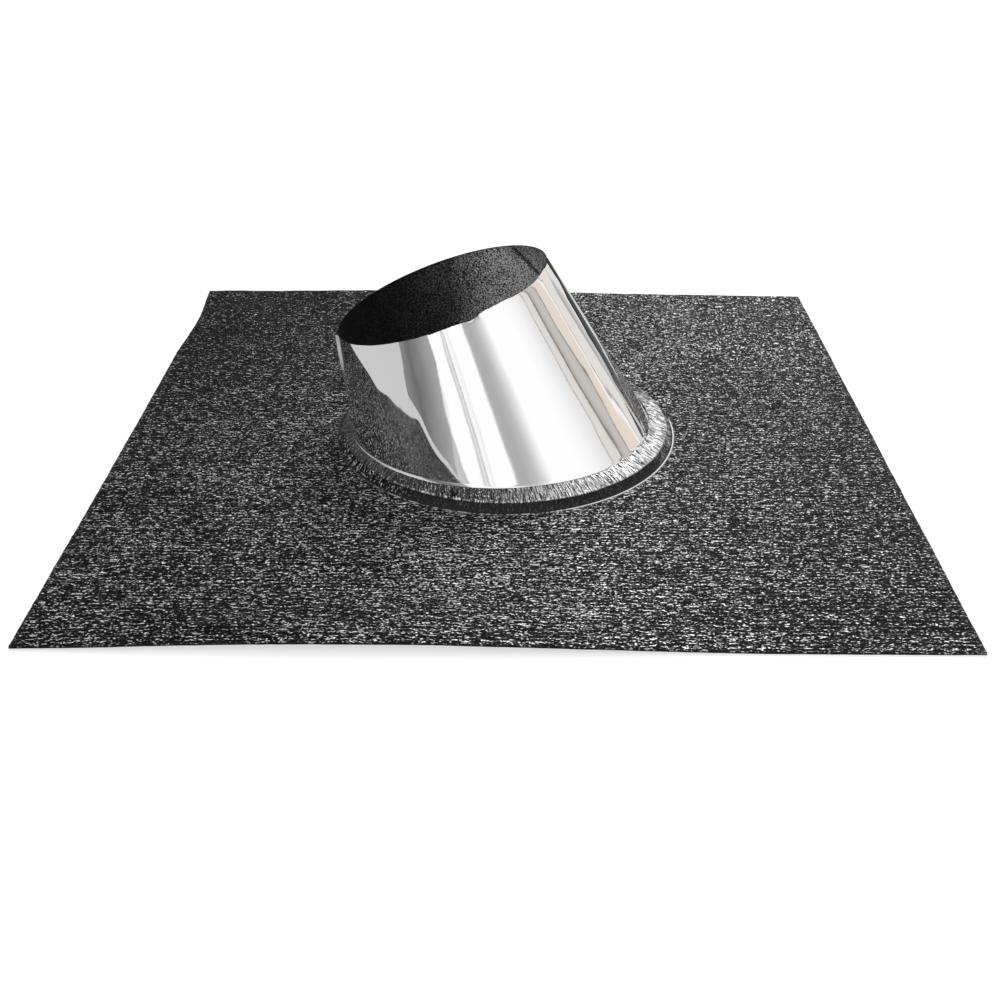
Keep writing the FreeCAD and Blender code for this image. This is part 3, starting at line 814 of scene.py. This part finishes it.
def floor_material():
    """Pale floor that keeps shadows; unshaded it is as white as the backdrop."""
    material, n, shader = new_material("pale_floor")
    shader.inputs["Base Color"].default_value = (0.44, 0.44, 0.44, 1)
    shader.inputs["Roughness"].default_value = 1.0
    shader.inputs["Specular IOR Level"].default_value = 0.0
    shader.inputs["Emission Color"].default_value = (1, 1, 1, 1)
    path = n.add("ShaderNodeLightPath")
    seen = n.math("MAXIMUM", path.outputs["Is Camera Ray"], path.outputs["Is Transmission Ray"])
    shiny = n.times(path.outputs["Is Glossy Ray"], 0.18)
    n.set(shader.inputs["Emission Strength"], n.plus(n.times(seen, 0.63), shiny))
    return material


def make_floor():
    """A wide floor a hair below the sheet."""
    mesh = bpy.data.meshes.new("floor")
    half, level = 5.0, -0.0004
    mesh.from_pydata([(-half, -half, level), (half, -half, level), (half, half, level), (-half, half, level)],
                     [], [(0, 1, 2, 3)])
    mesh.materials.append(floor_material())
    floor = bpy.data.objects.new("floor", mesh)
    bpy.context.scene.collection.objects.link(floor)


def glossy_only(thing):
    """Seen by polished metal alone."""
    thing.visible_camera = False
    thing.visible_diffuse = False
    thing.visible_shadow = False
    thing.visible_transmission = False


def glow_material(name):
    """Flat glow of the colour that is plugged in."""
    material = bpy.data.materials.new(name)
    material.use_nodes = True
    tree = Nodes(material.node_tree)
    material.node_tree.nodes.remove(material.node_tree.nodes["Principled BSDF"])
    glow = tree.add("ShaderNodeEmission")
    tree.set(material.node_tree.nodes["Material Output"].inputs["Surface"], glow.outputs[0])
    return material, tree, glow.inputs["Color"]


def make_mat():
    """Mat on the floor behind, to the right: dark near the sheet, pale further out."""
    mesh = bpy.data.meshes.new("floor_mat")
    spots = ((0.262, 0.20), (5.0, 0.20), (5.0, 5.0), (-0.9, 5.0))
    mesh.from_pydata([(x, y, 0.001) for x, y in spots], [], [(0, 1, 2, 3)])
    material, tree, colour = glow_material("floor_mat")
    reach = tree.add("ShaderNodeVectorMath", operation="LENGTH")
    tree.set(reach.inputs[0], tree.add("ShaderNodeTexCoord").outputs["Object"])
    tree.set(colour, tree.colours(tree.span(reach.outputs["Value"], 0.3, 3.0, soft=False), (
        (0.0, grey(125)), (0.1, grey(85)), (0.3, grey(60)), (0.4, grey(12)), (0.48, grey(12)),
        (0.52, grey(253)), (0.7, grey(253)), (0.78, grey(226, WARM)), (1.0, grey(226, WARM)))))
    mesh.materials.append(material)
    mat = bpy.data.objects.new("floor_mat", mesh)
    bpy.context.scene.collection.objects.link(mat)
    glossy_only(mat)


def make_card():
    """Grey card standing off the near left corner; only polished metal sees it."""
    low, high = 0.0, 1.1
    left, right = (-0.335, -0.300), (-0.172, -0.417)
    mesh = bpy.data.meshes.new("grey_card")
    mesh.from_pydata([(*left, low), (*right, low), (*right, high), (*left, high)], [], [(0, 1, 2, 3)])
    material, tree, colour = glow_material("grey_card")
    axes = tree.add("ShaderNodeSeparateXYZ")
    tree.set(axes.inputs[0], tree.add("ShaderNodeTexCoord").outputs["Object"])
    across = tree.span(axes.outputs[0], left[0], right[0], 0.0, 1.0, soft=False)
    stops = ((0.0, grey(140)), (0.35, grey(112)), (0.6, grey(135)), (1.0, grey(172)))
    tree.set(colour, tree.colours(across, stops))
    mesh.materials.append(material)
    card = bpy.data.objects.new("grey_card", mesh)
    bpy.context.scene.collection.objects.link(card)
    glossy_only(card)


def make_lamp(name, place, size, power):
    """Square soft lamp aimed at the middle of the sheet."""
    data = bpy.data.lights.new(name, "AREA")
    data.size = size
    data.energy = power
    lamp = bpy.data.objects.new(name, data)
    lamp.location = place
    x, y, z = place
    lamp.rotation_euler = (atan(hypot(x, y) / z), 0, np.arctan2(x, -y))
    bpy.context.scene.collection.objects.link(lamp)


def make_camera():
    """A camera at the front, looking down on the sheet."""
    data = bpy.data.cameras.new("view")
    data.lens = LENS
    data.sensor_width = 36.0
    data.clip_start = 0.01
    camera = bpy.data.objects.new("view", data)
    camera.location = CAMERA_AT
    camera.rotation_euler = Euler((pi / 2 - CAMERA_DIP, 0, CAMERA_TURN))
    bpy.context.scene.collection.objects.link(camera)
    bpy.context.scene.camera = camera


make_camera()
sheet_piece = make_crepe_sheet(crepe_material())
collar_piece = make_collar(steel_material(), inside_material())
for piece, node, slot in ((sheet_piece, "flashing_sheet", "crepe_sheet"),
                          (collar_piece, "pipe_collar", "polished_steel")):
    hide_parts(node)
    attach(piece, "root")
make_floor()
studio_world()
make_card()
make_mat()
make_lamp("back_lamp", (0.6, 1.5, 1.9), 0.9, 18.0)
bpy.context.scene.view_settings.view_transform = "Standard"
